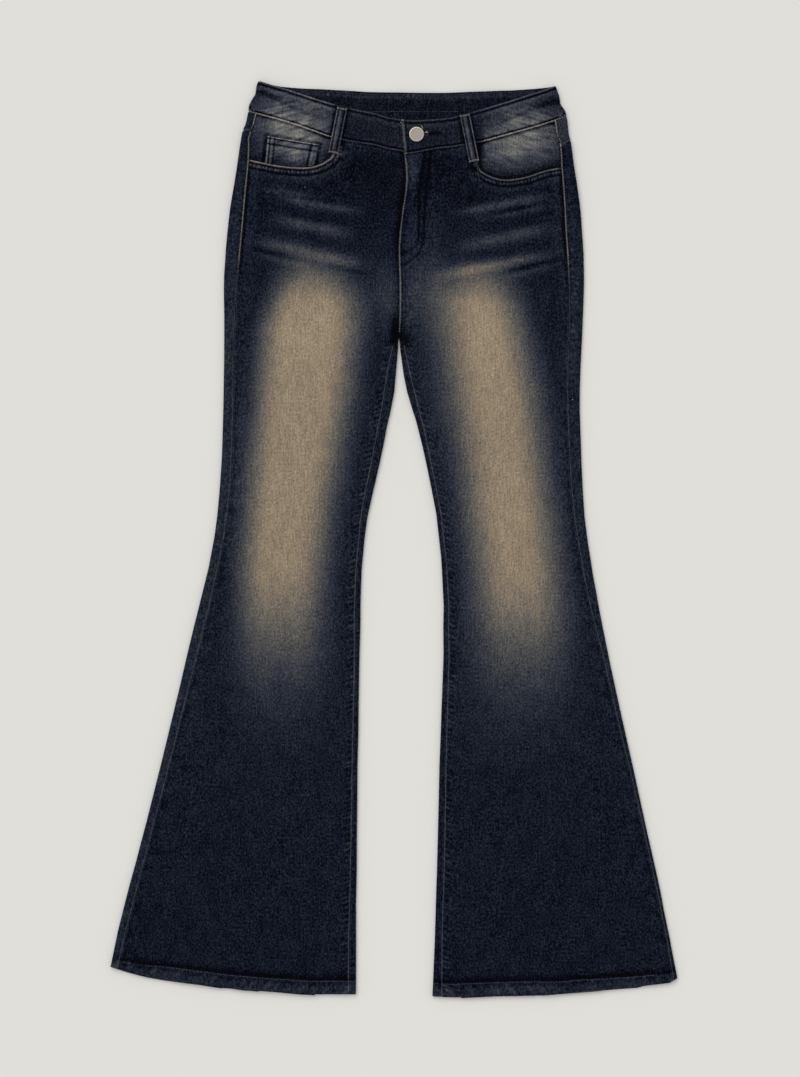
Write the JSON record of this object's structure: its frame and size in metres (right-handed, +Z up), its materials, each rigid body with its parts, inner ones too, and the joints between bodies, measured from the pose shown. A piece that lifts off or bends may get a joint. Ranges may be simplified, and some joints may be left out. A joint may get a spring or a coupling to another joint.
{
  "type": "flared jeans laid flat",
  "caption": "Dark faded denim jeans with flared legs, laid out flat on their back with the waist button fastened.",
  "frame": {"origin": "on the surface the jeans lie on, under the middle of their box", "axes": "+Z up out of the front of the jeans, +Y from the hems to the waist, +X to the wearer's left"},
  "size_m": [0.6534, 1.0478, 0.011],
  "materials": {
    "washed_denim": "dark indigo twill with pale worn thighs and crease marks",
    "dark_denim": "dark indigo twill",
    "faded_denim": "worn grey-brown indigo twill",
    "waistband_denim": "dark indigo twill, worn pale at the sides",
    "zip_tape": "woven tape",
    "button_metal": "pale satin metal"
  },
  "bodies": {
    "root": {"front_leg_right": "washed_denim", "front_leg_left": "washed_denim", "back_leg_right": "dark_denim", "back_leg_left": "dark_denim", "back_yoke_right": "dark_denim", "back_yoke_left": "dark_denim", "pocket_facing_right": "faded_denim", "pocket_facing_left": "faded_denim", "coin_pocket": "faded_denim", "back_pocket_right": "dark_denim", "back_pocket_left": "dark_denim", "waistband": "waistband_denim", "fly_shield": "dark_denim", "fly_zip": "zip_tape", "belt_loop_front_right": "faded_denim", "belt_loop_front_left": "faded_denim", "belt_loop_back_right": "dark_denim", "belt_loop_back_middle": "dark_denim", "belt_loop_back_left": "dark_denim", "waist_button": "button_metal"}
  },
  "joints": []
}
